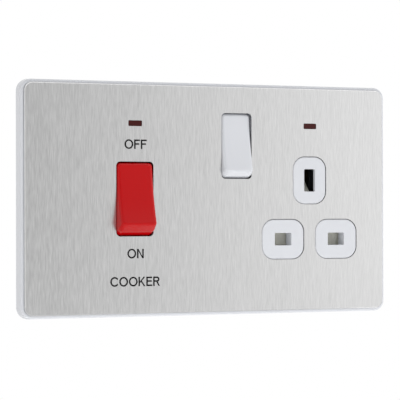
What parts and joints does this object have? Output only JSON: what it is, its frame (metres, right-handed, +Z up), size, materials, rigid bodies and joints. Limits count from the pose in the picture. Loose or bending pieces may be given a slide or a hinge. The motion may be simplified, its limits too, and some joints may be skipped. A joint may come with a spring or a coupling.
{
  "type": "cooker control unit",
  "caption": "Flush double wall plate in brushed steel with a large rocker switch for a cooker and a switched socket for flat pin plugs, each with a neon lens.",
  "frame": {"origin": "middle of the plate, in the plane of the wall, midway between the two fixing holes", "axes": "+X to the right of the plate seen from the front, +Z up, +Y into the wall"},
  "size_m": [0.1466, 0.0352, 0.0864],
  "materials": {
    "brushed_steel": "brushed vertically",
    "white_plastic": "moulded, semi gloss",
    "red_plastic": "moulded, gloss",
    "rocker_white": "moulded, gloss",
    "shutter_plastic": "moulded",
    "black_thermoset": "compression moulded",
    "lens_red": "clear moulded red",
    "lamp_glass": "clear glass",
    "resistor_body": "lacquered",
    "spring_steel": "drawn wire",
    "plated_steel": "zinc plated",
    "brass": "pressed and machined"
  },
  "bodies": {
    "plate": {"body_screws": "plated_steel", "cooker_neon_lamp": "lamp_glass", "cooker_neon_lens": "lens_red", "cooker_neon_resistor": "resistor_body", "cooker_switch_base": "black_thermoset", "cooker_switch_housing": "black_thermoset", "earth_contact": "brass", "earth_terminal": "brass", "face_plate": "brushed_steel", "live_contact": "brass", "live_link": "brass", "load_live_strip": "brass", "load_live_terminal": "brass", "load_neutral_strip": "brass", "load_neutral_terminal": "brass", "mounting_frame": "white_plastic", "neutral_contact": "brass", "neutral_link": "brass", "shutter_spring": "spring_steel", "socket_base": "black_thermoset", "socket_front": "white_plastic", "socket_neon_lamp": "lamp_glass", "socket_neon_lens": "lens_red", "socket_neon_resistor": "resistor_body", "supply_live_strip": "brass", "supply_live_terminal": "brass", "supply_neutral_strip": "brass", "supply_neutral_terminal": "brass", "switched_live_strip": "brass", "terminal_screws": "plated_steel"},
    "cooker_rocker": {"cooker_rocker": "red_plastic", "cooker_live_plunger": "brass", "cooker_live_spring": "spring_steel", "cooker_neutral_plunger": "brass", "cooker_neutral_spring": "spring_steel"},
    "socket_rocker": {"socket_rocker": "rocker_white", "socket_plunger": "brass", "socket_plunger_spring": "spring_steel"},
    "cooker_live_contact": {"cooker_live_contact": "brass"},
    "cooker_neutral_contact": {"cooker_neutral_contact": "brass"},
    "socket_switch_contact": {"socket_switch_contact": "brass"},
    "shutter": {"shutter": "shutter_plastic"}
  },
  "joints": [
    {"name": "cooker_rocker_tilt", "type": "hinge", "parent": "plate", "child": "cooker_rocker", "pos_m": [-0.03, -0.001, 0], "axis": [1, 0, 0], "range_deg": [0, 26]},
    {"name": "socket_rocker_tilt", "type": "hinge", "parent": "plate", "child": "socket_rocker", "pos_m": [0.0105, -0.001, 0.0198], "axis": [1, 0, 0], "range_deg": [0, 20.4]},
    {"name": "cooker_live_contact_rock", "type": "hinge", "parent": "plate", "child": "cooker_live_contact", "pos_m": [-0.0264, 0.0083, 0], "axis": [1, 0, 0], "range_deg": [-20, 0]},
    {"name": "cooker_neutral_contact_rock", "type": "hinge", "parent": "plate", "child": "cooker_neutral_contact", "pos_m": [-0.0336, 0.0083, 0], "axis": [1, 0, 0], "range_deg": [-20, 0]},
    {"name": "socket_contact_rock", "type": "hinge", "parent": "plate", "child": "socket_switch_contact", "pos_m": [0.0105, 0.0083, 0.0198], "axis": [1, 0, 0], "range_deg": [-20, 0]},
    {"name": "shutter_slide", "type": "slide", "parent": "plate", "child": "shutter", "axis": [0, 0, -1], "range_m": [0, 0.0058], "stiffness_N_per_m": 100, "springref_m": -0.003, "deforming": ["shutter_spring"]}
  ],
  "couplings": [
    {"joint": "cooker_live_contact_rock", "follows": "cooker_rocker_tilt", "ratio": -0.76923},
    {"joint": "cooker_neutral_contact_rock", "follows": "cooker_rocker_tilt", "ratio": -0.76923},
    {"joint": "socket_contact_rock", "follows": "socket_rocker_tilt", "ratio": -0.98039}
  ]
}
